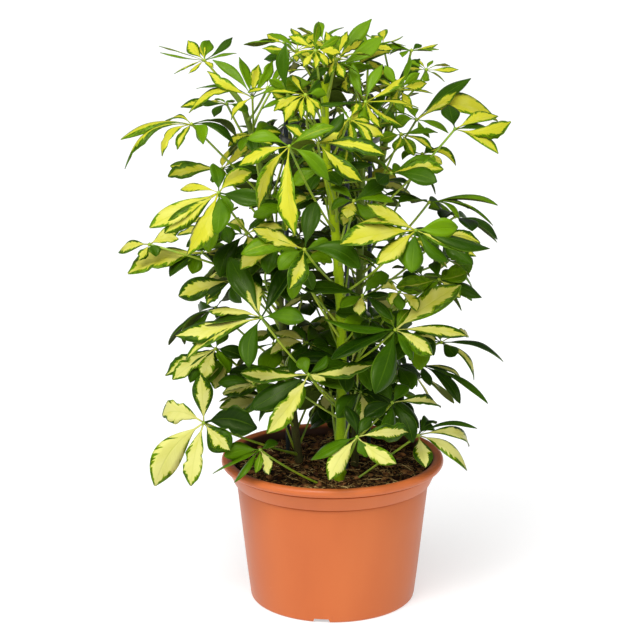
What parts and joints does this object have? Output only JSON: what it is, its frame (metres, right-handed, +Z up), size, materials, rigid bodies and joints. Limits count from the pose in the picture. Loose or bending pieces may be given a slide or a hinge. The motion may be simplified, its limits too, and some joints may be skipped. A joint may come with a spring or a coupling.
{
  "type": "potted umbrella plant",
  "caption": "Bushy yellow and green umbrella plant, its stems held by canes and a hoop, in a round tapered plastic nursery pot with a rolled rim.",
  "frame": {"origin": "centre of the pot's base, on the surface that the pot stands on", "axes": "+Z up; -Y towards the front of the plant"},
  "size_m": [0.4621, 0.418, 0.7034],
  "materials": {
    "pot": "satin",
    "soil": "matte",
    "stem_young": "satin",
    "stem_old": "matte",
    "cane": "satin",
    "hoop": "satin",
    "leaf": "satin"
  },
  "bodies": {
    "root": {"back_leaf_01": "leaf", "back_leaf_02": "leaf", "back_leaf_03": "leaf", "back_leaf_04": "leaf", "back_leaf_05": "leaf", "back_leaf_06": "leaf", "back_leaf_07": "leaf", "back_leaf_08": "leaf", "back_leaf_09": "leaf", "back_leaf_10": "leaf", "back_stem": "stem_old", "front_cane": "cane", "front_leaf_01": "leaf", "front_leaf_02": "leaf", "front_leaf_03": "leaf", "front_leaf_04": "leaf", "front_leaf_05": "leaf", "front_leaf_06": "leaf", "front_leaf_07": "leaf", "front_leaf_08": "leaf", "front_leaf_09": "leaf", "front_leaf_10": "leaf", "front_leaf_11": "leaf", "front_leaf_12": "leaf", "front_leaf_13": "leaf", "front_leaf_14": "leaf", "front_leaf_15": "leaf", "front_leaf_16": "leaf", "front_leaf_17": "leaf", "front_leaf_18": "leaf", "front_stem": "stem_young", "hoop": "hoop", "left_cane": "cane", "left_leaf_01": "leaf", "left_leaf_02": "leaf", "left_leaf_03": "leaf", "left_leaf_04": "leaf", "left_leaf_05": "leaf", "left_leaf_06": "leaf", "left_leaf_07": "leaf", "left_leaf_08": "leaf", "left_leaf_09": "leaf", "left_leaf_10": "leaf", "left_leaf_11": "leaf", "left_leaf_12": "leaf", "left_leaf_13": "leaf", "left_leaf_14": "leaf", "left_stem": "stem_old", "pot": "pot", "right_cane": "cane", "right_leaf_01": "leaf", "right_leaf_02": "leaf", "right_leaf_03": "leaf", "right_leaf_04": "leaf", "right_leaf_05": "leaf", "right_leaf_06": "leaf", "right_stem": "stem_old", "soil": "soil"}
  },
  "joints": []
}
